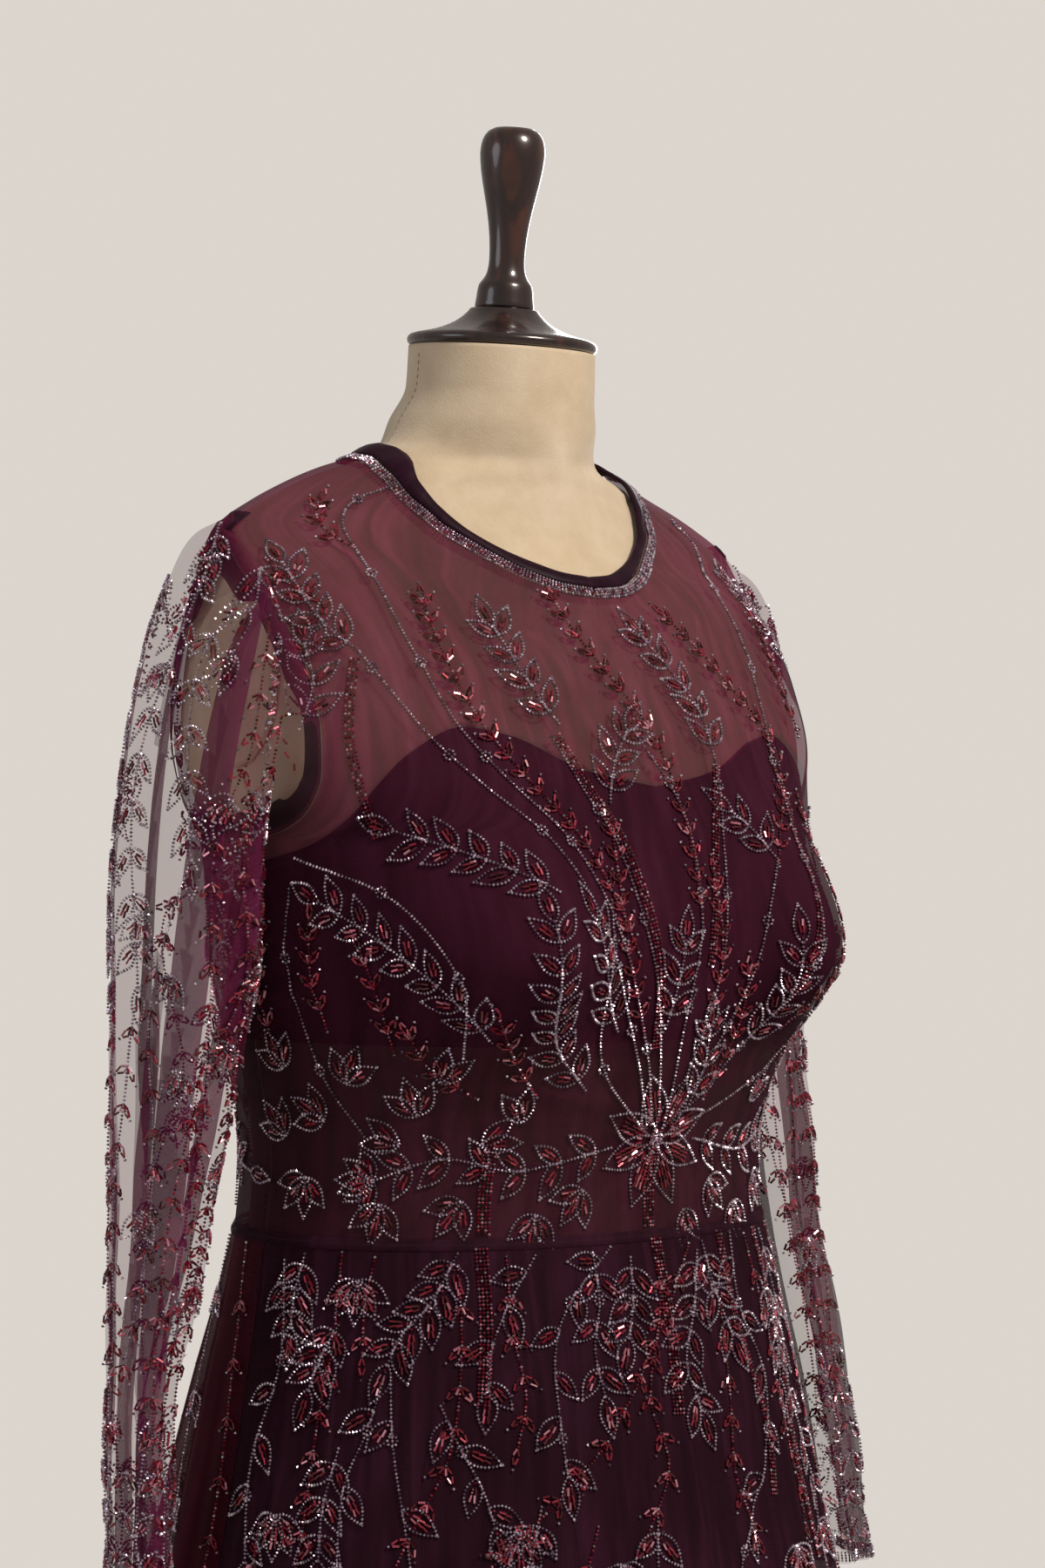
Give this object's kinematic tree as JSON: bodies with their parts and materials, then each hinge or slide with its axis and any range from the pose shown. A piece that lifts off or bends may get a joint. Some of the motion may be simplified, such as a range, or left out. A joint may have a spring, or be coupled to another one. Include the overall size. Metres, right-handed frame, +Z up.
{
  "type": "evening gown on limbless dress form",
  "caption": "Long-sleeved evening gown of beaded net with a flared full-length skirt, worn by a limbless dress form with a turned cap and finial on a round stand.",
  "frame": {"origin": "centre of the flat underside of the stand's round base", "axes": "+Z up, the front of the gown faces -Y, the wearer's left is towards +X"},
  "size_m": [0.8652, 0.8289, 1.6325],
  "materials": {
    "net": "sheer plum net, beaded",
    "lining": "matt opaque crepe",
    "binding": "soft satin",
    "form_cloth": "matt brushed suede cloth",
    "dark_wood": "dark gloss varnish",
    "dark_steel": "dark satin"
  },
  "bodies": {
    "root": {"bodice_front": "net", "bodice_back_left": "net", "bodice_back_right": "net", "sleeve_right": "net", "sleeve_left": "net", "skirt_front": "net", "skirt_back_left": "net", "skirt_back_right": "net", "bust_lining_front": "lining", "bust_lining_back_left": "lining", "bust_lining_back_right": "lining", "skirt_lining_front": "lining", "skirt_lining_back": "lining", "neck_binding": "binding", "back_button": "binding", "form_torso": "form_cloth", "armhole_plate_right": "form_cloth", "armhole_plate_left": "form_cloth", "plate_screw_right": "dark_steel", "plate_screw_left": "dark_steel", "neck_cap": "dark_wood", "finial": "dark_wood", "stand_pole": "dark_steel", "stand_base": "dark_wood"}
  },
  "joints": []
}
